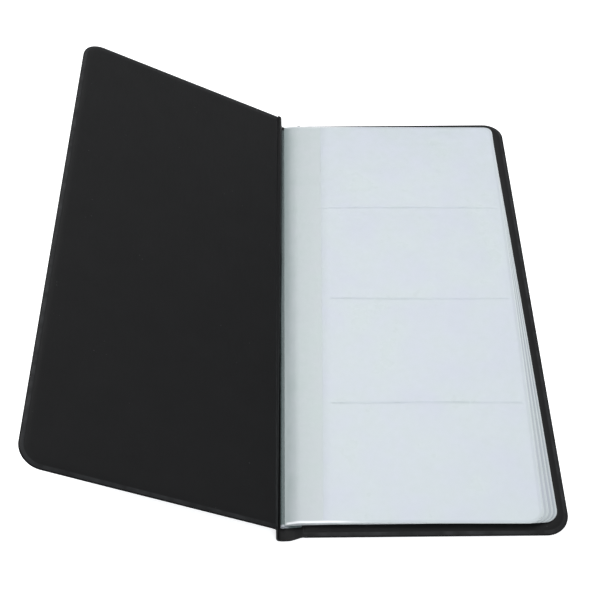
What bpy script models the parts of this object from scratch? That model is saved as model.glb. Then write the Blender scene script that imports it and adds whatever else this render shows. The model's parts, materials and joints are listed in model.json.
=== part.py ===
"""Pocket album lying open on its rear cover, built as separate solids.

Heat-welded vinyl covers over board, a soft spine that folds along both of its edges, binding
strips in the gutter and a stack of clear leaves, each with a sheet and a film that makes four
pockets. Metres, +Z up, +Y towards the head of the book. The origin is the middle of the rear
cover's underside. Every hinge line runs along Y.
"""

import math

import bmesh
import bpy
from mathutils import Matrix, Vector

MM = 0.001

# Covers: two equal panels, each an outer skin, a board and a lining.
COVER_HEIGHT = 250.0 * MM
PANEL_WIDTH = 109.7 * MM
COVER_RADIUS = 10.0 * MM
SKIN = 0.35 * MM
RIM_WIDTH = 1.6 * MM
RIM_STEP = 0.15 * MM
RIM_TOP = 1.70 * MM
BOARD_INSET = 3.2 * MM
BOARD_BOTTOM = 0.45 * MM
BOARD_TOP = 1.65 * MM
LINING_BOTTOM = 1.75 * MM
LINING_TOP = 2.05 * MM
LINING_CHAMFER = 0.12 * MM

# Where the spine's outer face stands, and where the rear panel starts.
SPINE_X = -60.0 * MM
REAR_PANEL_X = SPINE_X + 10.1 * MM

# Soft spine: its foot is turned up from the rear cover, and the strip above it folds.
SPINE_PLY = 0.30 * MM
PLY_GAP = 0.06 * MM
SPINE_MIDDLE = SPINE_PLY + PLY_GAP / 2
LOWER_SPINE_TOP = 2.0 * MM
LOWER_FOLD_Z = 2.4 * MM
UPPER_FOLD_Z = 8.9 * MM
FOLD_GAP = 0.4 * MM
LINING_LENGTH = 249.2 * MM

# Front cover, open and raised over the table on the left.
FRONT_ANGLE = math.radians(151.8)
FRONT_START = 0.4 * MM
FRONT_PIVOT_DEPTH = LINING_TOP

# Strips in the gutter: its lining, and the binding that carries the leaves.
STRIP_BOTTOM = SKIN + 0.05 * MM
GUTTER_END = REAR_PANEL_X - 0.2 * MM
BINDING_LENGTH = 239.0 * MM
BINDING_X = SPINE_X + 1.0 * MM
BINDING_END = REAR_PANEL_X - 0.4 * MM
BINDING_BOTTOM = 0.75 * MM
BINDING_SEAT = 2.03 * MM
BINDING_WALL = 0.7 * MM
BINDING_TOP = 3.9 * MM

# Leaves: each is a sheet and a pocket film above it.
LEAF_COUNT = 8
LEAF_HEIGHT = 240.0 * MM
LEAF_INNER_X = SPINE_X + 2.8 * MM
LEAF_OUTER_X = SPINE_X + 114.4 * MM
LEAF_RADIUS = 6.0 * MM
LEAF_BOTTOM = 2.12 * MM
LEAF_PITCH = 0.25 * MM
SHEET_THICKNESS = 0.10 * MM
FILM_LIFT = 0.13 * MM
FILM_THICKNESS = 0.07 * MM
FILM_EDGE_X = SPINE_X + 22.2 * MM
FILM_INSET = 0.25 * MM
# The leaves fan a little: the top one slants most, the bottom one not at all.
FAN_SLANT = 0.020
FAN_DROP = 0.012

CORNER_STEPS = 8


def clear_scene():
    """Removes every object of the startup scene."""
    for obj in list(bpy.data.objects):
        bpy.data.objects.remove(obj, do_unlink=True)


def material(name, color, roughness, alpha=1.0):
    """A Principled material with one colour."""
    made = bpy.data.materials.new(name)
    made.use_nodes = True
    shader = made.node_tree.nodes["Principled BSDF"]
    shader.inputs["Base Color"].default_value = (*color, 1.0)
    shader.inputs["Roughness"].default_value = roughness
    shader.inputs["Alpha"].default_value = alpha
    made.diffuse_color = (*color, alpha)
    return made


def rounded_outline(x0, x1, y0, y1, inner_radius, outer_radius, inset=0.0):
    """Corners of a panel seen from above, counter-clockwise. The outer side is at x1."""
    x0 += inset
    x1 -= inset
    y0 += inset
    y1 -= inset
    points = []
    corners = (
        (x0, y0, 1, 1, 180, inner_radius),
        (x1, y0, -1, 1, 270, outer_radius),
        (x1, y1, -1, -1, 0, outer_radius),
        (x0, y1, 1, -1, 90, inner_radius),
    )
    for x, y, side_x, side_y, start, radius in corners:
        if radius <= 0:
            points.append((x, y))
            continue
        r = max(radius - inset, 0.2 * MM)
        cx = x + side_x * r
        cy = y + side_y * r
        for step in range(CORNER_STEPS + 1):
            a = math.radians(start + 90 * step / CORNER_STEPS)
            points.append((cx + r * math.cos(a), cy + r * math.sin(a)))
    return points


def stacked(loops):
    """A solid through loops of (x, y) points at rising z, with flat ends. The counts are equal."""
    bm = bmesh.new()
    rows = []
    for z, points in loops:
        rows.append([bm.verts.new((x, y, z)) for x, y in points])
    count = len(rows[0])
    for low, high in zip(rows, rows[1:]):
        for i in range(count):
            j = (i + 1) % count
            bm.faces.new((low[i], low[j], high[j], high[i]))
    bm.faces.new(list(reversed(rows[0])))
    bm.faces.new(rows[-1])
    return bm


def plate(points, z0, z1):
    """A flat plate between two heights."""
    return stacked([(z0, points), (z1, points)])


def bar(section, length):
    """A solid of constant section (x, z), centred on Y."""
    bm = bmesh.new()
    near = [bm.verts.new((x, -length / 2, z)) for x, z in section]
    far = [bm.verts.new((x, length / 2, z)) for x, z in section]
    count = len(section)
    for i in range(count):
        j = (i + 1) % count
        bm.faces.new((near[i], near[j], far[j], far[i]))
    bm.faces.new(list(reversed(near)))
    bm.faces.new(far)
    return bm


def rim(outer, inner, z0, z1):
    """An upright ring between two outlines with equal counts."""
    bm = bmesh.new()
    rows = []
    for points, z in ((outer, z0), (outer, z1), (inner, z1), (inner, z0)):
        rows.append([bm.verts.new((x, y, z)) for x, y in points])
    count = len(outer)
    for a, b in zip(rows, rows[1:] + rows[:1]):
        for i in range(count):
            j = (i + 1) % count
            bm.faces.new((a[i], a[j], b[j], b[i]))
    return bm


def finish(bm, name, mat, matrix=None):
    """Makes the named object, faces outward, in world coordinates."""
    if matrix is not None:
        bmesh.ops.transform(bm, matrix=matrix, verts=bm.verts)
    bmesh.ops.recalc_face_normals(bm, faces=bm.faces)
    mesh = bpy.data.meshes.new(name)
    bm.to_mesh(mesh)
    bm.free()
    mesh.materials.append(mat)
    obj = bpy.data.objects.new(name, mesh)
    bpy.context.scene.collection.objects.link(obj)
    return obj


def joined(first, second, name, mat, matrix=None):
    """The union of two overlapping shapes, as one named object."""
    base = finish(first, name + "_base", mat)
    tool = finish(second, name + "_tool", mat)
    cut = base.modifiers.new("Union", "BOOLEAN")
    cut.operation = "UNION"
    cut.solver = "EXACT"
    cut.object = tool
    graph = bpy.context.evaluated_depsgraph_get()
    bm = bmesh.new()
    bm.from_object(base, graph)
    bpy.data.objects.remove(base, do_unlink=True)
    bpy.data.objects.remove(tool, do_unlink=True)
    return finish(bm, name, mat, matrix)


def set_origin(obj, point):
    """Moves an object's origin without moving its shape."""
    shift = Vector(point)
    obj.data.transform(Matrix.Translation(-shift))
    obj.location = shift


def panel_outline(x0, inset=0.0, hinge_radius=0.0):
    """Outline of a cover panel that starts at x0."""
    half = COVER_HEIGHT / 2
    return rounded_outline(x0, x0 + PANEL_WIDTH, -half, half, hinge_radius, COVER_RADIUS, inset)


def panel_rim(x0):
    """The welded wall around a panel's board."""
    outer = panel_outline(x0, RIM_STEP)
    inner = panel_outline(x0, RIM_WIDTH)
    return rim(outer, inner, SKIN / 2, RIM_TOP)


def panel_board(x0):
    """The board inside a panel."""
    points = panel_outline(x0, BOARD_INSET)
    return plate(points, BOARD_BOTTOM, BOARD_TOP)


def panel_lining(x0):
    """The lining on a panel's inner face, with a small chamfer."""
    full = panel_outline(x0, RIM_STEP)
    small = panel_outline(x0, RIM_STEP + LINING_CHAMFER)
    shoulder = LINING_TOP - LINING_CHAMFER
    return stacked([(LINING_BOTTOM, full), (shoulder, full), (LINING_TOP, small)])


def rear_floor():
    """Outer skin under the rear panel and the gutter, flat."""
    half = COVER_HEIGHT / 2
    end = REAR_PANEL_X + PANEL_WIDTH
    return plate(rounded_outline(SPINE_X, end, -half, half, 0.0, COVER_RADIUS), 0.0, SKIN)


def strip(x0, x1, z0, z1, length):
    """A flat or upright strip that runs along the spine."""
    return bar([(x0, z0), (x1, z0), (x1, z1), (x0, z1)], length)


def ply_start(inner):
    """Where the spine's outer skin, or its lining, starts along X."""
    return SPINE_X + (SPINE_PLY + PLY_GAP if inner else 0.0)


def lower_ply(inner, length):
    """One ply of the spine's foot, which stands on the rear cover's skin."""
    x0 = ply_start(inner)
    return strip(x0, x0 + SPINE_PLY, STRIP_BOTTOM, LOWER_SPINE_TOP, length)


def upper_ply(inner, length):
    """One ply of the spine's folding strip."""
    x0 = ply_start(inner)
    low = LOWER_FOLD_Z + FOLD_GAP
    high = UPPER_FOLD_Z - FOLD_GAP
    return strip(x0, x0 + SPINE_PLY, low, high, length)


def front_matrix():
    """Takes a flat panel, outer face down and hinge side at x = 0, to the open front cover."""
    along = Vector((math.cos(FRONT_ANGLE), 0.0, math.sin(FRONT_ANGLE)))
    inward = Vector((math.sin(FRONT_ANGLE), 0.0, -math.cos(FRONT_ANGLE)))
    pivot = Vector((SPINE_X + SPINE_MIDDLE, 0.0, UPPER_FOLD_Z))
    base = pivot - FRONT_PIVOT_DEPTH * inward
    return Matrix(
        (
            (along.x, 0.0, inward.x, base.x),
            (0.0, 1.0, 0.0, 0.0),
            (along.z, 0.0, inward.z, base.z),
            (0.0, 0.0, 0.0, 1.0),
        )
    )


def leaf_outline(index, x0, inset):
    """Outline of a leaf or its film, slanted by its place in the fan."""
    share = index / (LEAF_COUNT - 1)
    half = LEAF_HEIGHT / 2
    points = rounded_outline(x0, LEAF_OUTER_X - inset, -half + inset, half - inset, 0.0, LEAF_RADIUS)
    fanned = []
    for x, y in points:
        reach = (x - LEAF_INNER_X) / (LEAF_OUTER_X - LEAF_INNER_X)
        slant = FAN_SLANT * share * (half - y) * min(reach * 4, 1.0)
        fanned.append((x - slant, y - FAN_DROP * share * (x - LEAF_INNER_X)))
    return fanned


def build_covers(vinyl, lining, board):
    """Both covers, each with its board between a skin and a lining."""
    joined(rear_floor(), panel_rim(REAR_PANEL_X), "rear_cover_skin", vinyl)
    finish(panel_board(REAR_PANEL_X), "rear_cover_board", board)
    finish(panel_lining(REAR_PANEL_X), "rear_cover_lining", lining)

    place = front_matrix()
    floor = plate(panel_outline(FRONT_START), 0.0, SKIN)
    front = [
        joined(floor, panel_rim(FRONT_START), "front_cover_skin", vinyl, place),
        finish(panel_board(FRONT_START), "front_cover_board", board, place),
        finish(panel_lining(FRONT_START), "front_cover_lining", lining, place),
    ]
    for obj in front:
        set_origin(obj, (SPINE_X + SPINE_MIDDLE, 0.0, UPPER_FOLD_Z))


def build_spine(vinyl, lining):
    """The spine's foot, which stays with the rear cover, and the strip that folds above it."""
    finish(lower_ply(False, COVER_HEIGHT), "lower_spine_skin", vinyl)
    finish(lower_ply(True, LINING_LENGTH), "lower_spine_lining", lining)
    plies = [
        finish(upper_ply(False, COVER_HEIGHT), "spine_skin", vinyl),
        finish(upper_ply(True, LINING_LENGTH), "spine_lining", lining),
    ]
    for obj in plies:
        set_origin(obj, (SPINE_X + SPINE_MIDDLE, 0.0, LOWER_FOLD_Z))


def build_binding(lining, binding):
    """What fills the gutter: its lining, and the two binding strips at the leaves' ends."""
    start = ply_start(True) + SPINE_PLY + PLY_GAP
    gutter = strip(start, GUTTER_END, STRIP_BOTTOM, STRIP_BOTTOM + SPINE_PLY, LINING_LENGTH)
    base = strip(BINDING_X, BINDING_END, BINDING_BOTTOM, BINDING_SEAT, BINDING_LENGTH)
    wall_end = BINDING_X + BINDING_WALL
    wall = strip(BINDING_X, wall_end, BINDING_SEAT + PLY_GAP, BINDING_TOP, BINDING_LENGTH)
    finish(gutter, "gutter_lining", lining)
    finish(base, "binding_base", binding)
    finish(wall, "binding_wall", binding)


def build_leaves(clear, film):
    """Every leaf, from the bottom of the stack up."""
    for index in range(LEAF_COUNT):
        low = LEAF_BOTTOM + LEAF_PITCH * index
        sheet = plate(leaf_outline(index, LEAF_INNER_X, 0.0), low, low + SHEET_THICKNESS)
        lift = low + FILM_LIFT
        pockets = plate(leaf_outline(index, FILM_EDGE_X, FILM_INSET), lift, lift + FILM_THICKNESS)
        parts = [
            finish(sheet, f"leaf_{index + 1}_sheet", clear),
            finish(pockets, f"leaf_{index + 1}_pocket_film", film),
        ]
        for obj in parts:
            set_origin(obj, (LEAF_INNER_X, 0.0, low))


def main():
    clear_scene()
    vinyl = material("black_vinyl", (0.022, 0.022, 0.025), 0.5)
    lining = material("black_lining", (0.02, 0.02, 0.022), 0.6)
    board = material("grey_board", (0.30, 0.28, 0.25), 0.9)
    binding = material("white_binding", (0.62, 0.65, 0.66), 0.35)
    clear = material("clear_sheet", (0.66, 0.70, 0.73), 0.25, 0.6)
    film = material("pocket_film", (0.70, 0.75, 0.80), 0.2, 0.5)
    build_covers(vinyl, lining, board)
    build_spine(vinyl, lining)
    build_binding(lining, binding)
    build_leaves(clear, film)


main()
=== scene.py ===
"""Looks of a pocket album that lies open on its rear cover.

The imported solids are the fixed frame, and every piece here takes its place from them. Lengths in
the dataclasses are millimetres, measured from the spine's outer face (x) and the table (z), and
are turned into metres where a mesh is made. +Y runs towards the head of the book.
"""

import json
import logging
import math
from collections.abc import Callable, Sequence
from dataclasses import dataclass
from enum import Enum

import bpy
from mathutils import Matrix, Vector


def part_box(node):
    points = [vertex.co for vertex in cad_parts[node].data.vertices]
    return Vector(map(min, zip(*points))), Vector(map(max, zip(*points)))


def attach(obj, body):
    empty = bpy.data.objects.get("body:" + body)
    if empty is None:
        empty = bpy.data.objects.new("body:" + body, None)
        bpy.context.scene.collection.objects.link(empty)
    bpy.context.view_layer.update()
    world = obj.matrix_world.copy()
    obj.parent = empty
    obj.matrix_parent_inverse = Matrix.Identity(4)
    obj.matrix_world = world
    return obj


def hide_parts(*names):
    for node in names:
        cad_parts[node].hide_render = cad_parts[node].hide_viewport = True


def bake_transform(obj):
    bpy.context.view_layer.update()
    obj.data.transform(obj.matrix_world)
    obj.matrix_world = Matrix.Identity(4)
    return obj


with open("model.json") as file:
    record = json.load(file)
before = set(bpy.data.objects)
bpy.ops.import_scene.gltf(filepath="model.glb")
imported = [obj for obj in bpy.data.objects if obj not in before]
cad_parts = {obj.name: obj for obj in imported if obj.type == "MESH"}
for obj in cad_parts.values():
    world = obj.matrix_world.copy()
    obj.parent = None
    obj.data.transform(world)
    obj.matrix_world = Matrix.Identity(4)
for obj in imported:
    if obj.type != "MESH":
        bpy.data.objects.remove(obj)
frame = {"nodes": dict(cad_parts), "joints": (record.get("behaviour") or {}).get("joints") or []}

MM = 0.001
END_SHARES = (0.985, 0.995, 0.9985, 1.0)
END_TUCK = 0.004
INNER_EDGE_MARK = 0.45
NOISE_ROUGHNESS = 0.55
CORNER_STEPS = 12
SIDE_STEPS = 12
LOG = logging.getLogger("album")
Point = tuple[float, float]
Color = tuple[float, float, float]


class Slot(Enum):
    """The record's material slots, passed along with the pieces but not given to them."""

    VINYL = "vinyl"
    LINING = "lining"
    BINDING = "binding"
    SHEET = "sheet"
    FILM = "pocket_film"


class Face(Enum):
    """The two sides of a cover."""

    OUTER = "outer"
    INNER = "inner"


def smooth(low: float, high: float, value: float) -> float:
    """A smooth step of value, from 0 at low to 1 at high."""
    t = min(max((value - low) / (high - low), 0.0), 1.0)
    return t * t * (3 - 2 * t)


def bell(value: float, width: float) -> float:
    """A bell curve of height 1 around zero."""
    return math.exp(-((value / width) ** 2))


def spread(start: float, end: float, count: int) -> list[float]:
    """Evenly spaced numbers from start to end, both included."""
    return [start + (end - start) * i / (count - 1) for i in range(count)]


def through(points: Sequence[Point], steps: int) -> list[Point]:
    """A smooth curve through points.

    Args:
        points: What the curve passes through, in order.
        steps: How many short stretches lie between two points.

    Returns:
        The points of the curve, ends included.
    """
    ends = [points[0], *points, points[-1]]
    curve = []
    for a, b, c, d in zip(ends, ends[1:], ends[2:], ends[3:]):
        for i in range(steps):
            t = i / steps
            x, z = (
                0.5 * (2 * q + (r - p) * t + (2 * p - 5 * q + 4 * r - s) * t**2
                       + (3 * q - p - 3 * r + s) * t**3)
                for p, q, r, s in zip(a, b, c, d)
            )
            curve.append((x, z))
    curve.append(tuple(points[-1]))
    return curve


def beside(path: Sequence[Point], distance: float) -> list[Point]:
    """A path moved sideways, to the right of its own direction.

    Args:
        path: The points of the path.
        distance: How far to move it.

    Returns:
        One moved point for each point of the path.
    """
    moved = []
    last = len(path) - 1
    for i, (x, z) in enumerate(path):
        ax, az = path[max(i - 1, 0)]
        bx, bz = path[min(i + 1, last)]
        length = math.hypot(bx - ax, bz - az)
        moved.append((x + distance * (bz - az) / length, z - distance * (bx - ax) / length))
    return moved


@dataclass(frozen=True)
class Plan:
    """Places and sizes of the album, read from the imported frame, in metres and radians."""

    spine_x: float
    panel_start: float
    panel_end: float
    half_height: float
    thickness: float
    upper_fold: Vector
    opening: float

    @classmethod
    def read(cls, joints: list[dict]) -> "Plan":
        """Reads the frame.

        Args:
            joints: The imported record's joints.

        Returns:
            The plan.
        """
        by_name = {joint["name"]: joint for joint in joints}
        skin_low, skin_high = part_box("rear_cover_skin")
        lining_low, lining_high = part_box("rear_cover_lining")
        closed = by_name["front_cover_fold"]["range_deg"][0]
        return cls(
            spine_x=skin_low.x,
            panel_start=lining_low.x - (skin_high.x - lining_high.x),
            panel_end=skin_high.x,
            half_height=skin_high.y,
            thickness=lining_high.z,
            upper_fold=Vector(by_name["front_cover_fold"]["pos_m"]),
            opening=math.radians(-closed),
        )

    def at(self, x: float, y: float, z: float) -> Vector:
        """A point given in millimetres from the spine's face, the middle and the table."""
        return Vector((self.spine_x + x * MM, y * MM, z * MM))

    def front_place(self) -> Matrix:
        """Where the front cover stands.

        Returns:
            What takes a flat cover, outer face down and hinge side at x = 0, to its open place.
        """
        along = Vector((math.cos(self.opening), 0.0, math.sin(self.opening)))
        inward = Vector((math.sin(self.opening), 0.0, -math.cos(self.opening)))
        base = self.upper_fold - self.thickness * inward
        rows = [(along[i], float(i == 1), inward[i], base[i]) for i in range(3)]
        return Matrix((*rows, (0.0, 0.0, 0.0, 1.0)))

    def rear_place(self) -> Matrix:
        """What takes a flat cover to the rear cover's place."""
        return Matrix.Translation((self.panel_start, 0.0, 0.0))


# ---- meshes


def make_piece(
    name: str,
    points: Sequence[Sequence[float]],
    faces: Sequence[Sequence[int]],
    sharp: float = 40.0,
    marks: dict[str, list[float]] | None = None,
) -> bpy.types.Object:
    """Makes one object from points and faces.

    Args:
        name: The object's name.
        points: Places in metres.
        faces: Indices of each face's points, counter-clockwise from outside.
        sharp: Edges that turn more than this many degrees stay sharp.
        marks: Named numbers, one for each point, which materials read.

    Returns:
        The object, in the scene.
    """
    mesh = bpy.data.meshes.new(name)
    mesh.from_pydata([tuple(p) for p in points], [], [tuple(f) for f in faces])
    for mark, values in (marks or {}).items():
        mesh.attributes.new(mark, "FLOAT", "POINT").data.foreach_set("value", values)
    mesh.shade_smooth()
    mesh.set_sharp_from_angle(angle=math.radians(sharp))
    mesh.update()
    piece = bpy.data.objects.new(name, mesh)
    bpy.context.scene.collection.objects.link(piece)
    return piece


def bridge(rows: Sequence[Sequence[int]], closed: bool) -> list[tuple[int, ...]]:
    """Quads between neighbouring rows of points.

    Args:
        rows: Rows of point numbers with equal counts.
        closed: Whether each row runs back to its own start.

    Returns:
        The faces.
    """
    count = len(rows[0])
    last = count if closed else count - 1
    return [
        (low[i], low[(i + 1) % count], high[(i + 1) % count], high[i])
        for low, high in zip(rows, rows[1:])
        for i in range(last)
    ]


def loft(
    name: str, loops: Sequence[Sequence[Vector]], marks: dict[str, list[float]]
) -> bpy.types.Object:
    """A closed body through closed loops, with a flat cap at each end.

    Args:
        name: The object's name.
        loops: Loops of equal counts, each counter-clockwise from the side of the last cap.
        marks: Named numbers, one for each point, loop by loop.

    Returns:
        The object.
    """
    count = len(loops[0])
    rows = [[r * count + i for i in range(count)] for r in range(len(loops))]
    faces = bridge(rows, True)
    faces.append(tuple(reversed(rows[0])))
    faces.append(tuple(rows[-1]))
    points = [p for loop in loops for p in loop]
    return make_piece(name, points, faces, 55.0, marks)


def sheet_body(
    name: str,
    top: Sequence[Sequence[Vector]],
    bottom: Sequence[Sequence[Vector]],
    marks: dict[str, list[float]],
) -> bpy.types.Object:
    """A closed thin body between two grids of points.

    Args:
        name: The object's name.
        top: Rows of points of the upper face, with x rising in a row and y rising over rows.
        bottom: The same grid for the lower face.
        marks: Named numbers for the points of one grid, row by row.

    Returns:
        The object. Its mark "edge" is 1 at the outermost points, and less on the inner side.
    """
    rows, columns = len(top), len(top[0])
    size = rows * columns
    upper = [[r * columns + c for c in range(columns)] for r in range(rows)]
    lower = [[size + i for i in row] for row in upper]
    faces = bridge(upper, False)
    faces += [tuple(reversed(face)) for face in bridge(lower, False)]
    border = upper[0] + [row[-1] for row in upper[1:]]
    border += upper[-1][-2::-1] + [row[0] for row in upper[-2:0:-1]]
    wall = [[i + size for i in border], border]
    faces += bridge(wall, True)
    points = [p for grid in (top, bottom) for row in grid for p in row]
    edge = [0.0] * (2 * size)
    for i in border:
        edge[i] = edge[i + size] = 1.0 if i % columns else INNER_EDGE_MARK
    both = {mark: values * 2 for mark, values in marks.items()}
    return make_piece(name, points, faces, 50.0, {"edge": edge, **both})


def swept(
    name: str,
    section: Sequence[Point],
    plan: Plan,
    reach: Callable[[float, float, float], float],
    end_mark: float,
    lean: float = 0.0,
) -> bpy.types.Object:
    """A closed body of one section, drawn out along the spine.

    Args:
        name: The object's name.
        section: The section's outline (x, z) in millimetres, clockwise from the foot.
        plan: The album's plan.
        reach: Half the body's length in millimetres at a place x, z and a share from -1 to 1.
        end_mark: The rim mark at the foot end.
        lean: How far the head end stands to the right of the middle, at the spine's face.

    Returns:
        The object.
    """
    shares = [*(-share for share in reversed(END_SHARES)), *spread(-0.96, 0.96, 41), *END_SHARES]
    centre_x = sum(x for x, _ in section) / len(section)
    centre_z = sum(z for _, z in section) / len(section)
    loops, rim = [], []
    for share in shares:
        tuck = END_TUCK if abs(share) == 1.0 else 0.0
        at_end = smooth(0.99, 0.994, -share) + 0.3 * smooth(0.99, 0.994, share)
        turn = []
        for x, z in section:
            sideways = lean * share * (1 - smooth(2.0, 8.5, x)) + (centre_x - x) * tuck
            along = share * reach(x, z, share)
            turn.append(plan.at(x + sideways, along, z + (centre_z - z) * tuck))
            # The rim mark at the foot end paints shade on the spine vinyl and a highlight on the
            # binding, less at the head.
            rim.append(end_mark * at_end * (1 - smooth(3.0, 7.0, x)))
        loops.append(turn)
    return loft(name, loops, {"rim": rim})


# ---- node trees


class Draft:
    """Adds and joins the nodes of one node tree."""

    def __init__(self, tree: bpy.types.NodeTree) -> None:
        """Keeps the tree that the nodes go in."""
        self.tree = tree

    def add(self, kind: str, values: dict | None = None, **settings: object) -> bpy.types.Node:
        """Adds a node.

        Args:
            kind: The node's type, without "ShaderNode".
            values: Values of its input sockets, by name.
            settings: Its properties.

        Returns:
            The node.
        """
        node = self.tree.nodes.new("ShaderNode" + kind)
        for name, value in settings.items():
            setattr(node, name, value)
        for name, value in (values or {}).items():
            self.feed(value, node.inputs[name])
        return node

    def feed(self, value: object, socket: bpy.types.NodeSocket) -> None:
        """Joins an output socket to an input, or sets the input to a plain value.

        Args:
            value: A socket, a number or a colour.
            socket: The input.
        """
        if isinstance(value, bpy.types.NodeSocket):
            self.tree.links.new(value, socket)
        elif socket.type == "RGBA" and len(value) == 3:
            socket.default_value = (*value, 1.0)
        else:
            socket.default_value = value

    def math(self, operation: str, a: object, b: object = 0.0) -> bpy.types.NodeSocket:
        """A sum, product or other operation on two numbers.

        Args:
            operation: Which operation.
            a: The first number or socket.
            b: The second.

        Returns:
            The result's socket.
        """
        node = self.add("Math", operation=operation)
        self.feed(a, node.inputs[0])
        self.feed(b, node.inputs[1])
        return node.outputs[0]

    def mix(self, share: object, a: object, b: object) -> bpy.types.NodeSocket:
        """A colour between two colours.

        Args:
            share: How much of the second, from 0 to 1.
            a: The first colour or socket.
            b: The second.

        Returns:
            The colour's socket.
        """
        node = self.add("Mix", data_type="RGBA")
        self.feed(share, node.inputs[0])
        self.feed(a, node.inputs[6])
        self.feed(b, node.inputs[7])
        return node.outputs[2]

    def span(
        self, value: object, low: float, high: float, start: float, end: float
    ) -> bpy.types.NodeSocket:
        """A number moved from the range low to high to the range start to end, and kept there."""
        source = {"Value": value, "From Min": low, "From Max": high}
        return self.add("MapRange", {**source, "To Min": start, "To Max": end}).outputs["Result"]

    def noise(self, place: object, scale: object, detail: float = 3.0) -> bpy.types.NodeSocket:
        """Soft noise from 0 to 1 at a place, scale times in a metre."""
        values = {"Vector": place, "Scale": scale, "Detail": detail, "Roughness": NOISE_ROUGHNESS}
        return self.add("TexNoise", values).outputs[0]


class EffectGroup:
    """A shader node group with named sockets, built once."""

    name = "effect"
    takes: tuple[tuple[str, str, object], ...] = ()
    gives: tuple[tuple[str, str], ...] = ()

    def tree(self) -> bpy.types.NodeTree:
        """The group's node tree, made at its first use.

        Returns:
            The tree.
        """
        made = bpy.data.node_groups.get(self.name)
        if made is None:
            made = bpy.data.node_groups.new(self.name, "ShaderNodeTree")
            for label, kind, value in self.takes:
                socket = made.interface.new_socket(label, in_out="INPUT", socket_type=kind)
                socket.default_value = value
            for label, kind in self.gives:
                made.interface.new_socket(label, in_out="OUTPUT", socket_type=kind)
            draft = Draft(made)
            source = made.nodes.new("NodeGroupInput")
            target = made.nodes.new("NodeGroupOutput")
            for label, value in self.wire(draft, source.outputs).items():
                draft.feed(value, target.inputs[label])
        return made

    def wire(self, draft: Draft, given: bpy.types.NodeOutputs) -> dict[str, object]:
        """Makes the group's nodes.

        Args:
            draft: Where they go.
            given: The group's input sockets.

        Returns:
            The socket behind each output, by name.
        """
        raise NotImplementedError

    def place(self, draft: Draft, values: dict[str, object]) -> bpy.types.NodeOutputs:
        """Puts the group in a material.

        Args:
            draft: The material's tree.
            values: What its inputs get, by name.

        Returns:
            Its output sockets.
        """
        node = draft.tree.nodes.new("ShaderNodeGroup")
        node.node_tree = self.tree()
        for name, value in values.items():
            draft.feed(value, node.inputs[name])
        return node.outputs


NUMBER, COLOR = "NodeSocketFloat", "NodeSocketColor"


class Grain(EffectGroup):
    """Fine pressed grain with longer strokes along the spine, and the slow unevenness under it."""

    name = "grain"
    takes = (("Scale", NUMBER, 2200.0), ("Stroke", NUMBER, 0.3), ("Unevenness", NUMBER, 0.3))
    gives = (("Height", NUMBER), ("Mottle", NUMBER))

    def wire(self, draft: Draft, given: bpy.types.NodeOutputs) -> dict[str, object]:
        """Makes the group's nodes.

        Args:
            draft: Where they go.
            given: The group's input sockets.

        Returns:
            The socket behind each output, by name.
        """
        place = draft.add("TexCoord").outputs["Object"]
        shape = draft.add("CombineXYZ", {"X": 1.0, "Y": given["Stroke"], "Z": 1.0})
        drawn = draft.add("VectorMath", operation="MULTIPLY")
        draft.feed(place, drawn.inputs[0])
        draft.feed(shape.outputs[0], drawn.inputs[1])
        fine = draft.noise(drawn.outputs[0], given["Scale"], 4.0)
        coarse = draft.noise(drawn.outputs[0], draft.math("MULTIPLY", given["Scale"], 0.27), 2.0)
        slow = draft.noise(place, 26.0, 2.0)
        pressed = draft.math("ADD", fine, draft.math("MULTIPLY", coarse, 0.8))
        waves = draft.math("MULTIPLY", slow, given["Unevenness"])
        return {
            "Height": draft.math("ADD", pressed, waves),
            "Mottle": draft.span(draft.noise(place, 60.0, 5.0), 0.3, 0.7, 0.0, 1.0),
        }


class PaintedRimHighlight(EffectGroup):
    """Painted highlight along a welded rim, broken up so that it isn't an even line."""

    name = "painted_rim_highlight"
    takes = (
        ("Color", COLOR, (0.02, 0.02, 0.02, 1.0)),
        ("Highlight Color", COLOR, (0.08, 0.08, 0.08, 1.0)),
        ("Rim", NUMBER, 0.0),
        ("Amount", NUMBER, 0.5),
    )
    gives = (("Color", COLOR), ("Mask", NUMBER))

    def wire(self, draft: Draft, given: bpy.types.NodeOutputs) -> dict[str, object]:
        """Makes the group's nodes.

        Args:
            draft: Where they go.
            given: The group's input sockets.

        Returns:
            The socket behind each output, by name.
        """
        place = draft.add("TexCoord").outputs["Object"]
        broken = draft.span(draft.noise(place, 180.0, 4.0), 0.35, 0.7, 0.15, 1.0)
        mask = draft.math("MULTIPLY", draft.math("MULTIPLY", given["Rim"], broken), given["Amount"])
        return {"Color": draft.mix(mask, given["Color"], given["Highlight Color"]), "Mask": mask}


class Dust(EffectGroup):
    """Sparse small specks."""

    name = "dust"
    takes = (("Scale", NUMBER, 320.0), ("Size", NUMBER, 0.06))
    gives = (("Mask", NUMBER),)

    def wire(self, draft: Draft, given: bpy.types.NodeOutputs) -> dict[str, object]:
        """Makes the group's nodes.

        Args:
            draft: Where they go.
            given: The group's input sockets.

        Returns:
            The socket behind each output, by name.
        """
        place = draft.add("TexCoord").outputs["Object"]
        cells = draft.add("TexVoronoi", {"Vector": place, "Scale": given["Scale"]})
        near = draft.math("LESS_THAN", cells.outputs["Distance"], given["Size"])
        rare = draft.math("GREATER_THAN", draft.noise(place, 90.0, 2.0), 0.6)
        return {"Mask": draft.math("MULTIPLY", near, rare)}


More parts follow.
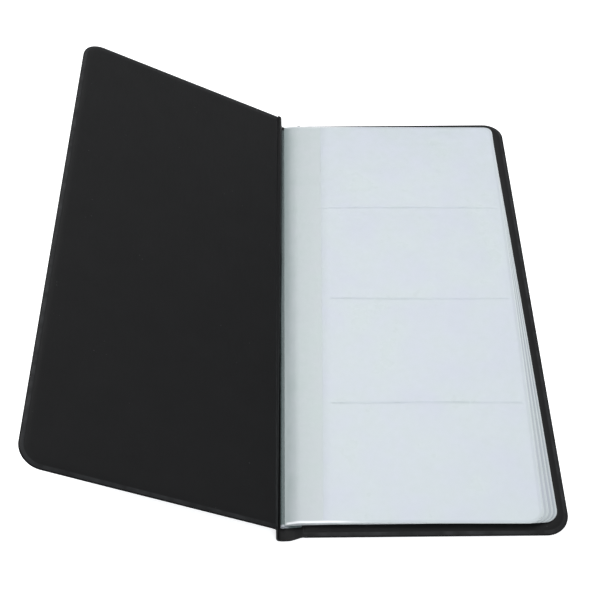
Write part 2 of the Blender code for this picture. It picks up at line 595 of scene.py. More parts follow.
class Clouding(EffectGroup):
    """Milky clouding of soft film, with the slow ripple that its surface keeps."""

    name = "clouding"
    takes = (
        ("Clear Color", COLOR, (0.7, 0.75, 0.8, 1.0)),
        ("Milky Color", COLOR, (0.8, 0.8, 0.85, 1.0)),
        ("Scale", NUMBER, 40.0),
    )
    gives = (("Color", COLOR), ("Height", NUMBER), ("Cloud", NUMBER))

    def wire(self, draft: Draft, given: bpy.types.NodeOutputs) -> dict[str, object]:
        """Makes the group's nodes.

        Args:
            draft: Where they go.
            given: The group's input sockets.

        Returns:
            The socket behind each output, by name.
        """
        place = draft.add("TexCoord").outputs["Object"]
        broad = draft.noise(place, given["Scale"], 2.0)
        small = draft.noise(place, draft.math("MULTIPLY", given["Scale"], 5.0), 3.0)
        both = draft.math("ADD", draft.math("MULTIPLY", broad, 0.8), draft.math("MULTIPLY", small, 0.2))
        cloud = draft.span(both, 0.35, 0.65, 0.0, 1.0)
        return {
            "Color": draft.mix(cloud, given["Clear Color"], given["Milky Color"]),
            "Height": both,
            "Cloud": cloud,
        }


# ---- finishes


@dataclass(frozen=True)
class Finish:
    """A material: its name, colour and gloss."""

    name: str
    color: Color
    roughness: float
    specular: float = 0.5

    def material(self) -> bpy.types.Material:
        """The material, made at its first use.

        Returns:
            The material.
        """
        made = bpy.data.materials.get(self.name)
        if made is None:
            made = bpy.data.materials.new(self.name)
            made.use_nodes = True
            shader = made.node_tree.nodes["Principled BSDF"]
            shader.inputs["Specular IOR Level"].default_value = self.specular
            made.diffuse_color = (*self.color, 1.0)
            self.dress(Draft(made.node_tree), shader)
        return made

    def dress(self, draft: Draft, shader: bpy.types.Node) -> None:
        """Joins the finish's nodes to its shader.

        Args:
            draft: The material's tree.
            shader: Its Principled shader.
        """
        raise NotImplementedError

    def bump(self, draft: Draft, shader: bpy.types.Node, height: object, depth: float) -> None:
        """Feeds a height to the shader's normal, where a height of 1 is depth metres."""
        node = draft.add("Bump", {"Strength": 1.0, "Distance": depth, "Height": height})
        draft.feed(node.outputs[0], shader.inputs["Normal"])

    def coat(self, piece: bpy.types.Object) -> None:
        """Gives the piece this finish alone."""
        piece.data.materials.clear()
        piece.data.materials.append(self.material())


@dataclass(frozen=True)
class VinylFinish(Finish):
    """Pressed soft vinyl: fine grain, a painted highlight along the welded border, painted shade on the
    cut edge and a little dust.

    It reads the marks "rim", the cut edge, where the shade is painted, and "band", the welded border,
    where the highlight is painted.
    """

    rim_highlight: Color = (0.034, 0.035, 0.037)
    # cut: the near-black of the painted shade on the cut edge.
    cut: Color = (0.002, 0.002, 0.002)
    grain: float = 2400.0
    depth: float = 0.00003
    highlight_amount: float = 0.6

    def dress(self, draft: Draft, shader: bpy.types.Node) -> None:
        """Joins the finish's nodes to its shader.

        Args:
            draft: The material's tree.
            shader: Its Principled shader.
        """
        grain = Grain().place(draft, {"Scale": self.grain, "Stroke": 0.2, "Unevenness": 0.5})
        light = tuple(1.10 * c for c in self.color)
        dark = tuple(0.92 * c for c in self.color)
        base = draft.mix(grain["Mottle"], dark, light)
        band, rim = (
            draft.add("Attribute", attribute_name=mark).outputs["Fac"] for mark in ("band", "rim")
        )
        # The welded border is lightened: a painted highlight where its bevel catches the light.
        rim_highlight = PaintedRimHighlight().place(
            draft, {"Color": base, "Highlight Color": self.rim_highlight, "Rim": band, "Amount": self.highlight_amount}
        )
        # The cut edge is painted near-black: painted shade where the rounded edge turns away.
        rim_shaded = draft.mix(rim, rim_highlight["Color"], self.cut)
        dust = Dust().place(draft, {"Scale": 330.0, "Size": 0.07})
        specks = draft.mix(draft.math("MULTIPLY", dust["Mask"], 0.10), rim_shaded, (0.3, 0.3, 0.3))
        draft.feed(specks, shader.inputs["Base Color"])
        rough = draft.span(grain["Height"], 0.5, 1.5, self.roughness - 0.08, self.roughness + 0.08)
        band_gloss = draft.math("SUBTRACT", rough, draft.math("MULTIPLY", rim_highlight["Mask"], 0.14))
        matt = draft.math("MAXIMUM", band_gloss, draft.math("MULTIPLY", rim, 0.9))
        draft.feed(matt, shader.inputs["Roughness"])
        self.bump(draft, shader, grain["Height"], self.depth)


@dataclass(frozen=True)
class BoardFinish(Finish):
    """Grey board: short fibres and flecks."""

    def dress(self, draft: Draft, shader: bpy.types.Node) -> None:
        """Joins the finish's nodes to its shader.

        Args:
            draft: The material's tree.
            shader: Its Principled shader.
        """
        fibre = Grain().place(draft, {"Scale": 900.0, "Stroke": 0.12, "Unevenness": 0.2})
        flecks = Dust().place(draft, {"Scale": 700.0, "Size": 0.16})
        light = tuple(1.2 * c for c in self.color)
        dark = tuple(0.75 * c for c in self.color)
        base = draft.mix(fibre["Height"], dark, light)
        draft.feed(draft.mix(flecks["Mask"], base, dark), shader.inputs["Base Color"])
        rough = draft.span(fibre["Mottle"], 0.0, 1.0, self.roughness - 0.1, self.roughness)
        draft.feed(rough, shader.inputs["Roughness"])
        self.bump(draft, shader, fibre["Height"], 0.00008)


@dataclass(frozen=True)
class ClearFinish(Finish):
    """Soft clear film: milky clouding, a darker welded border, painted highlights on the cut edges and
    at the ends near the binding, painted shade near the binding, see-through.

    It reads a leaf's marks: "edge", its cut edges, which get a painted highlight; "seam" and "hem", its
    welds, where the hem also carries painted shade on lower leaves; "root", painted shade near the
    binding and across the margin, and near the pocket mouths; and a last mark, a painted highlight
    along the foot and head edges near the binding. The binding has only "rim", which paints a highlight
    on its foot end.
    Shine is how bright the painted highlight on the cut edges is.
    """

    milky: Color = (0.8, 0.82, 0.84)
    # edge: the colour of the painted highlights on cut edges and at the leaves' ends near the binding.
    edge: Color = (0.97, 0.98, 0.99)
    border: Color = (0.08, 0.11, 0.13)
    # The colour of the painted shade near the binding, across the margin and at the pocket mouths.
    painted_shade_color: Color = (0.25, 0.31, 0.31)
    hem_share: float = 0.9
    seam_share: float = 0.03
    cloud_scale: float = 40.0
    see: float = 0.5
    depth: float = 0.0004
    edge_mark: str = "edge"
    shine: float = 0.5

    def dress(self, draft: Draft, shader: bpy.types.Node) -> None:
        """Joins the finish's nodes to its shader.

        Args:
            draft: The material's tree.
            shader: Its Principled shader.
        """
        clouds = Clouding().place(
            draft,
            {"Clear Color": self.color, "Milky Color": self.milky, "Scale": self.cloud_scale},
        )
        edge, seam, hem, root, end_highlight = (
            draft.add("Attribute", attribute_name=mark).outputs["Fac"]
            for mark in (self.edge_mark, "seam", "hem", "root", "end_highlight")
        )
        # Cut edges get a painted highlight, as if lit: the edge colour, made opaque below.
        cut = draft.span(edge, 0.35, 0.95, 0.0, self.shine)
        # Painted shade near the binding, across the margin and at the pocket mouths.
        with_painted_shade = draft.mix(root, clouds["Color"], self.painted_shade_color)
        hemmed = draft.mix(draft.math("MULTIPLY", hem, self.hem_share), with_painted_shade, self.border)
        welded = draft.mix(draft.math("MULTIPLY", seam, self.seam_share), hemmed, self.border)
        # Painted highlights: cut edges and the ends near the binding take the edge colour and full
        # opacity.
        bright = draft.math("MAXIMUM", cut, end_highlight)
        draft.feed(draft.mix(bright, welded, self.edge), shader.inputs["Base Color"])
        hazed = draft.span(clouds["Cloud"], 0.0, 1.0, self.see - 0.03, self.see + 0.03)
        solid = draft.math("MAXIMUM", bright, draft.math("MULTIPLY", seam, 0.5))
        draft.feed(draft.math("MAXIMUM", hazed, solid), shader.inputs["Alpha"])
        rough = draft.span(clouds["Cloud"], 0.0, 1.0, self.roughness, self.roughness + 0.12)
        draft.feed(rough, shader.inputs["Roughness"])
        self.bump(draft, shader, clouds["Height"], self.depth)


@dataclass(frozen=True)
class FloorFinish(Finish):
    """Pale studio floor, evenly lit."""

    glow: float = 0.6

    def dress(self, draft: Draft, shader: bpy.types.Node) -> None:
        """Joins the finish's nodes to its shader.

        Args:
            draft: The material's tree.
            shader: Its Principled shader.
        """
        place = draft.add("TexCoord").outputs["Object"]
        tone = draft.span(draft.noise(place, 8.0, 2.0), 0.3, 0.7, 0.0, 1.0)
        paler = tuple(min(1.01 * c, 1.0) for c in self.color)
        draft.feed(draft.mix(tone, self.color, paler), shader.inputs["Base Color"])
        shader.inputs["Roughness"].default_value = self.roughness
        shader.inputs["Emission Color"].default_value = (1.0, 1.0, 1.0, 1.0)
        shader.inputs["Emission Strength"].default_value = self.glow


OUTER_VINYL = VinylFinish("black_vinyl", (0.0090, 0.0090, 0.0100), 0.50, 0.14)
INNER_VINYL = VinylFinish("black_lining", (0.0068, 0.0068, 0.0071), 0.54, 0.12)
GREY_BOARD = BoardFinish("grey_board", (0.30, 0.28, 0.25), 0.95)
# The binding's dark teal colour is partly painted shade of the gutter, partly the dark vinyl seen
# through it.
BINDING_PVC = ClearFinish(
    "binding_pvc", (0.17, 0.23, 0.23), 0.32, 0.4, milky=(0.21, 0.27, 0.27), see=0.36, depth=0.0002,
    # The binding's foot end gets a painted highlight in this edge colour.
    edge=(0.40, 0.42, 0.45), edge_mark="rim", shine=1.0,
)
SHEET_PVC = ClearFinish(
    "clear_sheet", (0.58, 0.645, 0.64), 0.30, 0.4, milky=(0.605, 0.645, 0.66), see=0.66,
    cloud_scale=70.0,
)
POCKET_PVC = ClearFinish(
    "pocket_pvc", (0.702, 0.762, 0.775), 0.26, 0.4, milky=(0.711, 0.746, 0.813), see=0.5,
    cloud_scale=60.0,
)
PALE_FLOOR = FloorFinish("pale_floor", (0.9, 0.9, 0.9), 0.6)


# ---- covers


@dataclass(frozen=True)
class Cover:
    """One stiff cover: a skin outside and a lining inside, welded around a board.

    Each section is (distance in from the edge, height, rim mark), from one cap round the edge
    to the other. The rim mark paints shade on the cut edge. Heights are for a cover that lies
    with its outer face down.
    """

    place: Matrix
    body: str
    width: float
    half_height: float
    radius: float = 10.0
    hinge_radius: float = 0.8
    hinge_share: float = 0.34
    short_end: float = 0.45
    short_side: float = 0.45
    outer_section: tuple[tuple[float, float, float], ...] = (
        (4.9, 0.36, 0), (3.6, 0.36, 0), (2.7, 0.40, 0), (2.2, 0.60, 0), (1.85, 0.90, 0),
        (0.35, 1.00, 0), (0.12, 0.98, 0.5), (0.0, 0.88, 1), (0.02, 0.74, 1), (0.16, 0.60, 0.5),
        (0.5, 0.50, 0), (1.1, 0.38, 0), (1.7, 0.27, 0), (1.95, 0.29, 0), (2.3, 0.20, 0),
        (3.0, 0.08, 0), (4.0, 0.01, 0), (5.2, 0.0, 0),
    )
    inner_section: tuple[tuple[float, float, float], ...] = (
        (4.9, 1.76, 0), (3.6, 1.75, 0), (2.8, 1.68, 0), (2.2, 1.40, 0), (1.85, 1.10, 0),
        (0.35, 1.02, 0), (0.12, 1.04, 0.5), (0.0, 1.13, 1), (0.02, 1.28, 1), (0.16, 1.42, 0.5),
        (0.5, 1.52, 0), (1.1, 1.64, 0), (1.7, 1.76, 0), (1.95, 1.74, 0), (2.3, 1.83, 0),
        (3.0, 1.95, 0), (4.0, 2.03, 0), (5.2, 2.05, 0),
    )

    def loop(self, inset: float, height: float) -> list[Vector]:
        """One turn round the cover.

        Args:
            inset: Distance in from the edge, less at the hinge side.
            height: Height over the table for a cover that lies flat.

        Returns:
            The turn's points in place, in metres.
        """
        x0 = inset * self.hinge_share
        x1 = self.width - self.short_side - inset
        half = self.half_height - self.short_end - inset
        corners = (
            (x1, -half, -90, max(self.radius - inset, 0.3)),
            (x1, half, 0, max(self.radius - inset, 0.3)),
            (x0, half, 90, max(self.hinge_radius - x0, 0.1)),
            (x0, -half, 180, max(self.hinge_radius - x0, 0.1)),
        )
        flat: list[Point] = []
        for x, y, start, radius in corners:
            cx = x - math.copysign(radius, x - self.width / 2)
            cy = y - math.copysign(radius, y)
            arc = [
                (cx + radius * math.cos(a), cy + radius * math.sin(a))
                for a in (
                    math.radians(start + 90 * i / CORNER_STEPS) for i in range(CORNER_STEPS + 1)
                )
            ]
            flat += arc
        return [self.place @ Vector((x * MM, y * MM, height * MM)) for x, y in self.sided(flat)]

    @staticmethod
    def sided(turn: list[Point]) -> list[Point]:
        """Adds points along the four straight sides, which keeps long faces even.

        Args:
            turn: The points of the four rounded corners.

        Returns:
            The points with the added ones between the corners.
        """
        full = []
        for i, (a, b) in enumerate(zip(turn, turn[1:] + turn[:1])):
            full.append(a)
            if i % (CORNER_STEPS + 1) == CORNER_STEPS:
                full += [
                    tuple(p + (q - p) * step / SIDE_STEPS for p, q in zip(a, b))
                    for step in range(1, SIDE_STEPS)
                ]
        return full

    def build(self, face: Face, name: str, finish: Finish, slot: Slot, *nodes: str) -> None:
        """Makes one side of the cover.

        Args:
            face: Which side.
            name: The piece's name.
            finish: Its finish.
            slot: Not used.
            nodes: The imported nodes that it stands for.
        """
        section = self.outer_section if face is Face.OUTER else self.inner_section
        loops = [self.loop(inset, height) for inset, height, _ in section]
        if face is Face.OUTER:
            loops = [list(reversed(turn)) for turn in loops]
        count = len(loops[0])
        marks = {
            "rim": [mark for _, _, mark in section for _ in range(count)],
            # band: the welded border, which gets a painted highlight in the vinyl's finish.
            "band": [
                smooth(0.15, 0.4, inset) * (1 - smooth(1.75, 1.95, inset))
                for inset, _, _ in section
                for _ in range(count)
            ],
        }
        piece = loft(name, loops, marks)
        finish.coat(piece)
        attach(piece, self.body)
        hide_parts(*nodes)
        LOG.info("%s rides on %s", name, self.body)


# ---- spine


@dataclass(frozen=True)
class SoftSpine:
    """The unstiffened vinyl between the covers: gutter, rounded foot, wall and upper fold.

    The paths are (x, z) of the outer face of each ply. Both plies are cut across the middle of
    the wall, where the lower stretch ends and the upper one begins.
    """

    plan: Plan
    ply: float = 0.34
    inner_gap: float = 0.06
    half_length: float = 125.7
    panel_half_length: float = 124.5
    lean: float = 0.75
    foot: tuple[Point, ...] = (
        (11.4, 0.98), (10.2, 0.84), (8.7, 0.46), (7.0, 0.12), (5.4, 0.01), (3.6, 0.0),
        (1.9, 0.02), (0.62, 0.50), (0.08, 1.6), (0.0, 3.0), (0.0, 4.4), (0.0, 5.6),
    )
    head: tuple[Point, ...] = (
        (0.0, 5.6), (0.0, 6.4), (0.0, 7.1), (-0.16, 7.72), (-0.55, 8.13), (-1.25, 8.50),
    )
    lower_turn: Point = (1.4, 3.6)

    def reach(self, x: float, z: float, share: float) -> float:
        """Half the length of a ply at (x, z): only its foot stands out past both covers."""
        past = (self.half_length - self.panel_half_length) * (1 - smooth(0.0, 0.5, share))
        return self.panel_half_length + past * (1 - max(smooth(4.0, 10.2, x), smooth(1.5, 7.6, z)))

    def ply_section(self, path: Sequence[Point], near: float) -> list[Point]:
        """The outline of a ply.

        Args:
            path: The outer face of the spine.
            near: How far in from it the ply starts.

        Returns:
            The outline, clockwise from the foot.
        """
        curve = through(path, 5)
        outer = beside(curve, near)
        inner = beside(curve, near + self.ply)
        return outer + inner[::-1]

    def build(self) -> None:
        """Makes both plies of both stretches."""
        near = self.ply + self.inner_gap
        stretches = (
            ("spine_foot_vinyl", self.foot, 0.0, OUTER_VINYL, Slot.VINYL, ("lower_spine_skin",)),
            ("spine_foot_lining", self.foot, near, INNER_VINYL, Slot.LINING,
             ("lower_spine_lining", "gutter_lining")),
            ("spine_fold_vinyl", self.head, 0.0, OUTER_VINYL, Slot.VINYL, ("spine_skin",)),
            ("spine_fold_lining", self.head, near, INNER_VINYL, Slot.LINING, ("spine_lining",)),
        )
        low, high = self.lower_turn
        for name, path, start, finish, slot, nodes in stretches:
            piece = swept(name, self.ply_section(path, start), self.plan, self.reach, 0.5, self.lean)
            finish.coat(piece)
            if path is self.foot:
                self.plan.at(0.0, 0.0, low)
                self.plan.at(0.0, 0.0, high)
                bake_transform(piece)
            else:
                self.plan.at(0.2, 0.0, 6.9)
                self.plan.at(-0.6, 0.0, 8.6)
                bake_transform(piece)
            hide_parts(*nodes)
            LOG.info("%s made", name)


# ---- binding


@dataclass(frozen=True)
class Binding:
    """The fused roll at the leaves' ends, with the strip that holds it in the gutter."""

    plan: Plan
    half_length: float = 120.2
    under: tuple[Point, ...] = (
        (9.8, 1.90), (8.0, 1.52), (6.0, 1.12), (3.8, 0.86), (2.2, 0.80),
    )
    back: tuple[Point, ...] = (
        (2.2, 0.80), (1.3, 0.94), (1.0, 1.45), (1.04, 2.0), (1.35, 2.38), (1.9, 2.53), (2.5, 2.5),
    )
    seat: tuple[Point, ...] = ((2.76, 1.30), (4.2, 1.34), (6.3, 1.58), (8.4, 1.83), (9.8, 1.95))

    def build(self) -> None:
        """Makes the binding as one body."""
        section = [
            *through(self.under, 3)[:-1],
            *through(self.back, 5),
            (2.75, 2.42),
            *through(self.seat, 3),
        ]
        piece = swept("binding_roll", section, self.plan, lambda x, z, share: self.half_length, 0.9)
        BINDING_PVC.coat(piece)
        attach(piece, "rear_cover")
        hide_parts("binding_base", "binding_wall")
        LOG.info("binding_roll made")


# ---- leaves


@dataclass(frozen=True)
class Leaf:
    """One clear leaf: a sheet, and a film welded over it that makes four pockets.

    All leaves share one surface shape, laid out as the top leaf lies, so that they nest without
    touching. Towards the binding they draw together and dip into the gutter.
    """

    plan: Plan
    number: int
    inner: float = 2.8
    outer: float = 114.4
    film_start: float = 22.2
    half: float = 120.0
    foot_radius: float = 6.0
    head_radius: float = 4.2
    pocket: float = 60.0
    film_inset: float = 0.25
    shares: tuple[float, ...] = (0.0, 0.07, 0.28, 0.35, 0.60, 0.68, 0.92, 1.0)
    slant: float = 0.027
    bow: float = 1.25
    drop: float = 0.012
    head_shift: float = 0.55
    head_stretch: float = 0.8
    root_stretch: float = 1.2
    crown: float = 0.34
    step_up: float = 0.22
    groove: float = 0.2
    groove_width: float = 0.26
    swell: float = 0.07
    stack_bottom: float = 2.12
    root_bottom: float = 1.45
    root_squeeze: float = 0.52
    root_end: float = 11.0
    bend_end: float = 12.0
    hem: float = 1.6
    ripple: float = 0.045
    mouth: float = 0.14
    mouth_end: float = 5.0
    # Strengths of the painted shade near the binding, across the margin and at the pocket mouths.
    root_shade: float = 0.84
    margin_shade: float = 0.16
    mouth_shade: float = 0.12
    # hem_shade is the weld's own darker tone; depth_shade adds painted shade that grows on lower
    # leaves.
    hem_shade: float = 0.1
    depth_shade: float = 0.4
    # Strengths of the painted highlight along the foot and head edges near the binding.
    foot_highlight: float = 0.85
    head_highlight: float = 0.4

    @property
    def share(self) -> float:
        """The leaf's place in the fan, from 0 at the bottom to 1 at the top."""
        return self.shares[self.number - 1]

    @property
    def is_top(self) -> bool:
        """Whether the leaf lies uppermost."""
        return self.number == len(self.shares)

    @property
    def seams(self) -> tuple[float, float, float]:
        """Where the cross welds are, along Y."""
        return -self.pocket, 0.0, self.pocket

    def gape(self, y: float) -> float:
        """How near y is to the middle of a pocket, from 0 at a weld to 1."""
        return abs(math.cos(math.pi * (y + self.pocket / 2) / self.pocket))

    def lie(self, x: float, y: float, share: float) -> Point:
        """Where a point of a leaf lies in the stack.

        Args:
            x: Its distance from the spine's face in a leaf laid straight.
            y: Its distance from the middle in a leaf laid straight.
            share: The leaf's place in the fan.

        Returns:
            The point's place (x, y).
        """
        across = min(max((x - self.inner) / (self.outer - self.inner), 0.0), 1.0)
        reach = min(across * 4, 1.0)
        down = (self.half - y) / (2 * self.half)
        lean = self.slant * share * (self.half - y) - self.bow * (1 - (1 - down) ** 2)
        at_root = self.root_stretch * (1 - smooth(self.inner, 16.0, x))
        stretch = (self.head_stretch * (1 - across) + at_root) * smooth(0.3 * self.half, self.half, y)
        return x - lean * reach, y - self.drop * share * (x - self.inner) + self.head_shift + stretch

    def seam_mark(self, x: float, y: float) -> float:
        """How much a place belongs to a cross weld.

        Args:
            x: Distance from the spine's face.
            y: Distance from the middle.

        Returns:
            A number from 0 to 1.
        """
        mark = 0.0
        for place in self.seams:
            start = self.film_start + (0.3 if place > 0 else 4.4)
            end = self.outer - 2.9
            inside = smooth(start, start + 0.6, x) * (1 - smooth(end, end + 0.5, x))
            wander = 0.14 * math.sin(0.061 * x + place) + 0.06 * math.sin(0.19 * x)
            depth = 0.78 + 0.22 * math.sin(0.23 * x + 0.4 * place)
            mark = max(mark, inside * depth * bell(y - place - wander, self.groove_width))
        return mark

    def ridge(self, x: float, y: float) -> float:
        """Height of the low swelling on the foot side of each cross weld, from 0 to 1."""
        reach = smooth(2.0, 4.0, x - self.film_start) * (1 - smooth(-5.0, -2.5, x - self.outer))
        return reach * max(bell(y - place + 1.0, 0.75) for place in self.seams)

    def rise(self, x: float, y: float) -> float:
        """Height of the shared surface over a flat one.

        Args:
            x: Distance from the spine's face, in the top leaf.
            y: Distance from the middle, in the top leaf.

        Returns:
            The height in millimetres.
        """
        pocketed = smooth(self.film_start - 10.0, self.film_start + 3.0, x)
        across = min(max((x - self.film_start) / (self.outer - self.film_start), 0.0), 1.0)
        crown = self.crown * math.sin(math.pi * across) * self.gape(y) ** 0.7
        ripple = self.ripple * (1 + math.sin(0.11 * y + 0.05 * x) * math.sin(0.09 * x + 0.6))
        weld = self.groove * self.seam_mark(x, y) - self.swell * self.ridge(x, y)
        return pocketed * (self.step_up + crown + ripple - weld)

    def hem_mark(self, x: float, y: float, radius: float) -> float:
        """How much a place of this leaf belongs to the welded border.

        Args:
            x: Distance from the spine's face.
            y: Distance from the middle.
            radius: The radius of the nearest corner.

        Returns:
            A number from 0 to 1.
        """
        into_x = x - (self.outer - radius)
        into_y = abs(y) - (self.half - radius)
        if into_x > 0 and into_y > 0:
            depth = radius - math.hypot(into_x, into_y)
        else:
            depth = min(self.outer - x, self.half - abs(y))
        return (1 - smooth(self.hem - 0.3, self.hem, depth)) * smooth(-0.1, 0.45, depth)

    def end_highlight_mark(self, x: float, y: float) -> float:
        """How strong the painted highlight is at this place of the leaf, along its foot and head edges
        near the binding.

        Args:
            x: Distance from the spine's face.
            y: Distance from the middle.

        Returns:
            A number from 0 to 1.
        """
        depth = self.half - abs(y)
        along = (1 - smooth(26.0, 48.0, x)) * smooth(self.inner, self.inner + 1.5, x)
        strength = self.foot_highlight if y < 0 else self.head_highlight
        return strength * along * (1 - smooth(0.8, 1.4, depth)) * smooth(0.0, 0.2, depth)

    def rows(self) -> list[float]:
        """Places along Y of the grid's rows.

        Returns:
            The places, close together at welds and corners.
        """
        places = set()
        by_weld = (0, 0.25, 0.5, 0.8, 1.5, 2.6)
        by_edge = (0, 0.2, 0.45, 0.9, 1.3, 1.6, 2.2, 3.0, 3.8, 4.8, 6)
        for side in (-1, 1):
            places.update(seam + side * d for seam in self.seams for d in by_weld)
            places.update(side * (self.half - d) for d in by_edge)
        for start in (-self.half, *self.seams):
            places.update(spread(start + 7.5, start + self.pocket - 7.5, 10))
        return sorted(places)

    def columns(self, start: float) -> list[float]:
        """Places along X of the grid's columns.

        Args:
            start: Where the layer's inner edge is.

        Returns:
            The places, from the start to the outer edge.
        """
        near = [start + d for d in (0, 0.15, 0.5, 1.2, 2.2, 3.2, 4.4, 4.7, 5.1, 6.2, 8.0, 10.0)]
        far = [self.outer - d for d in (4.0, 3.2, 2.7, 2.2, 1.6, 1.3, 0.9, 0.45, 0.2, 0)]
        between = spread(near[-1] + 3.5, self.outer - 7.0, 21 if start > 10 else 26)
        return near + between + far

    def corner_pull(self, x: float, y: float, inset: float) -> float:
        """Moves a grid column in where the leaf's outer corners are rounded.

        Args:
            x: The column's place.
            y: The row's place.
            inset: How far the layer's edges stay inside the leaf's.

        Returns:
            The column's place in this row.
        """
        radius = self.head_radius if y > 0 else self.foot_radius
        into = abs(y) - (self.half - inset - radius)
        cut = radius - math.sqrt(max(radius**2 - max(into, 0.0) ** 2, 0.0))
        return x - cut * smooth(self.outer - 3 * radius, self.outer, x)

    def settle(self, x: float, height: float) -> float:
        """A layer's height at x, drawn down into the gutter near the binding."""
        root = self.root_bottom + (height - self.stack_bottom) * self.root_squeeze
        return root + (height - root) * smooth(self.inner - 0.6, self.root_end, x)

    def grid(
        self, start: float, inset: float, low: float, extra: Callable[[float, float], float]
    ) -> tuple[list[list[Vector]], dict[str, list[float]]]:
        """A layer's surface.

        Args:
            start: Where the layer's inner edge is.
            inset: How far its outer edges stay inside the leaf's.
            low: Its height at a flat place, in millimetres.
            extra: Height added at (x, y).

        Returns:
            Rows of points, and the marks of all points, row by row, by name.
        """
        points = []
        marks: dict[str, list[float]] = {"seam": [], "hem": [], "root": [], "end_highlight": []}
        # The hem mark is the weld's darker tone plus painted shade that deepens down the fan.
        depth = self.hem_shade + self.depth_shade * math.sqrt(1 - self.share)
        for y in self.rows():
            y = min(max(y, inset - self.half), self.half - inset)
            radius = self.head_radius if y > 0 else self.foot_radius
            row = []
            for x in self.columns(start):
                x = self.corner_pull(min(x, self.outer - inset), y, inset)
                place = self.lie(x, y, self.share)
                shift = [a - b for a, b in zip(place, self.lie(x, y, 1.0))]
                top_x, top_y = x + shift[0], y + shift[1]
                height = self.settle(x, low + self.rise(top_x, top_y) + extra(x, y))
                row.append(self.plan.at(*place, height))
                marks["seam"].append(self.seam_mark(top_x, top_y))
                marks["hem"].append(self.hem_mark(x, y, radius) * depth)
                # root mark: painted shade, darkest where the leaf dips to the binding, fainter across
                # the margin, and near the pocket mouths.
                near = 1 - smooth(self.inner - 0.4, self.root_end - 3.4, x)
                near *= 1 - 0.5 * smooth(0.5 * self.half, -0.7 * self.half, y)
                wide = 1 - smooth(self.inner + 2.0, self.film_start + 2.0, x)
                mouth = 1 - smooth(0.0, 4.5, x - start) if start > self.inner else 0.0
                shade = self.root_shade * near + self.margin_shade * wide
                marks["root"].append(max(shade, self.mouth_shade * mouth))
                marks["end_highlight"].append(self.end_highlight_mark(x, y))
            points.append(row)
        return points, marks

    def lip(self, x: float, y: float) -> float:
        """How far the top leaf's pocket mouths stand open, in millimetres."""
        mouth = self.mouth if self.is_top else 0.0
        return mouth * self.gape(y) * (1 - smooth(0.0, self.mouth_end, x - self.film_start))

    def build(self) -> None:
        """Makes the sheet and the film."""
        layers = (
            ("sheet", "sheet", self.inner, 0.0, SHEET_PVC, Slot.SHEET, lambda x, y: 0.0),
            (
                "pockets", "pocket_film", self.film_start, self.film_inset,
                POCKET_PVC, Slot.FILM, self.lip,
            ),
        )
        for label, node_end, start, inset, finish, slot, extra in layers:
            node = f"leaf_{self.number}_{node_end}"
            low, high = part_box(node)
            top, marks = self.grid(start, inset, high.z / MM, extra)
            bottom, _ = self.grid(start, inset, low.z / MM, extra)
            piece = sheet_body(f"clear_leaf_{self.number}_{label}", top, bottom, marks)
            finish.coat(piece)
            self.plan.at(self.inner, 0.0, 0.0)
            self.plan.at(self.bend_end, 0.0, 0.0)
            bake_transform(piece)
            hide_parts(node)
        LOG.info("leaf %d made", self.number)


# ---- studio


@dataclass(frozen=True)
class SoftLight:
    """A square area light that looks at the album."""

    name: str
    place: tuple[float, float, float]
    size: float
    power: float
    color: Color = (1.0, 1.0, 1.0)

    def build(self) -> None:
        """Makes the light."""
        light = bpy.data.lights.new(self.name, "AREA")
        light.size = self.size
        light.energy = self.power
        light.color = self.color
        lamp = bpy.data.objects.new(self.name, light)
        lamp.location = self.place
        lamp.rotation_euler = (-Vector(self.place)).to_track_quat("-Z", "Y").to_euler()
        bpy.context.scene.collection.objects.link(lamp)


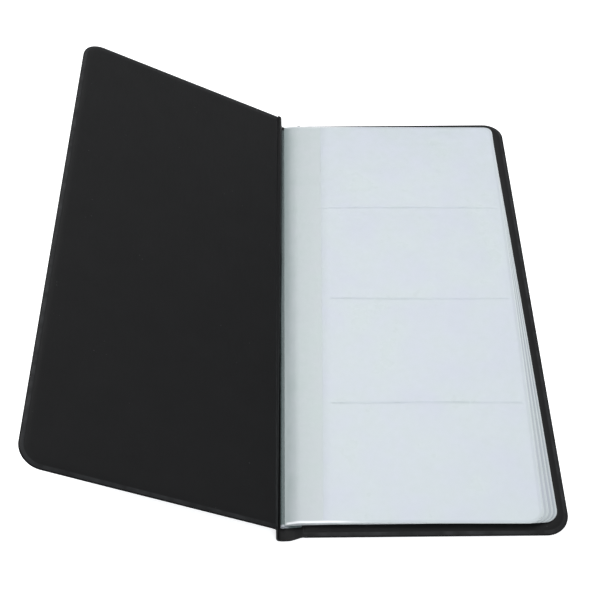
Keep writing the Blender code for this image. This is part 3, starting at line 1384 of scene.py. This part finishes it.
@dataclass(frozen=True)
class Studio:
    """Floor, light and camera."""

    camera_place: tuple[float, float, float] = (-0.0525, -0.362, 0.4379)
    yaw: float = -0.43
    tilt: float = 39.81
    roll: float = -0.16
    lens: float = 71.46
    sky: Color = (0.94, 0.97, 1.0)
    sky_strength: float = 0.45
    floor_half: float = 2.5
    floor_drop: float = 0.3
    lights: tuple[SoftLight, ...] = (
        SoftLight("key_light", (-0.1, 1.9, 3.0), 2.2, 86.0),
        SoftLight("fill_light", (0.3, -2.3, 2.3), 2.0, 50.0, (0.93, 0.96, 1.0)),
    )

    def build(self) -> None:
        """Makes the whole set."""
        self.floor()
        self.world()
        for light in self.lights:
            light.build()
        self.camera()
        view = bpy.context.scene.view_settings
        view.view_transform = "Standard"
        view.look = "None"

    def floor(self) -> None:
        """Makes the floor, just under the album."""
        half, z = self.floor_half, -self.floor_drop * MM
        corners = [(-half, -half, z), (half, -half, z), (half, half, z), (-half, half, z)]
        floor = make_piece("studio_floor", corners, [(0, 1, 2, 3)])
        PALE_FLOOR.coat(floor)

    def world(self) -> None:
        """Sets a plain soft sky."""
        world = bpy.data.worlds.new("soft_sky")
        world.use_nodes = True
        back = world.node_tree.nodes["Background"]
        back.inputs["Color"].default_value = (*self.sky, 1.0)
        back.inputs["Strength"].default_value = self.sky_strength
        bpy.context.scene.world = world

    def camera(self) -> None:
        """Places the camera."""
        lens = bpy.data.cameras.new("camera")
        lens.lens = self.lens
        lens.sensor_width = 36.0
        lens.clip_start = 0.01
        camera = bpy.data.objects.new("camera", lens)
        turn = (
            Matrix.Rotation(math.radians(self.yaw), 4, "Z")
            @ Matrix.Rotation(math.radians(self.tilt), 4, "X")
            @ Matrix.Rotation(math.radians(self.roll), 4, "Z")
        )
        camera.matrix_world = Matrix.Translation(self.camera_place) @ turn
        bpy.context.scene.collection.objects.link(camera)
        bpy.context.scene.camera = camera


def main() -> None:
    """Builds every piece of the album and the studio around it."""
    logging.basicConfig(level=logging.INFO, format="%(name)s: %(message)s")
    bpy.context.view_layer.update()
    plan = Plan.read(frame["joints"])
    Studio().build()
    width = (plan.panel_end - plan.panel_start) / MM
    half = plan.half_height / MM
    rear = Cover(plan.rear_place(), "rear_cover", width, half, short_side=-0.5)
    past_fold = Matrix.Translation((0.4 * MM, 0, 0))
    front = Cover(plan.front_place() @ past_fold, "front_cover", width, half)
    for side, cover in (("rear", rear), ("front", front)):
        cover.build(Face.OUTER, f"{side}_vinyl", OUTER_VINYL, Slot.VINYL, f"{side}_cover_skin")
        cover.build(Face.INNER, f"{side}_lining", INNER_VINYL, Slot.LINING, f"{side}_cover_lining")
        GREY_BOARD.coat(frame["nodes"][f"{side}_cover_board"])
    SoftSpine(plan).build()
    Binding(plan).build()
    for number in range(1, len(Leaf.shares) + 1):
        Leaf(plan, number).build()


if __name__ == "__main__":
    main()
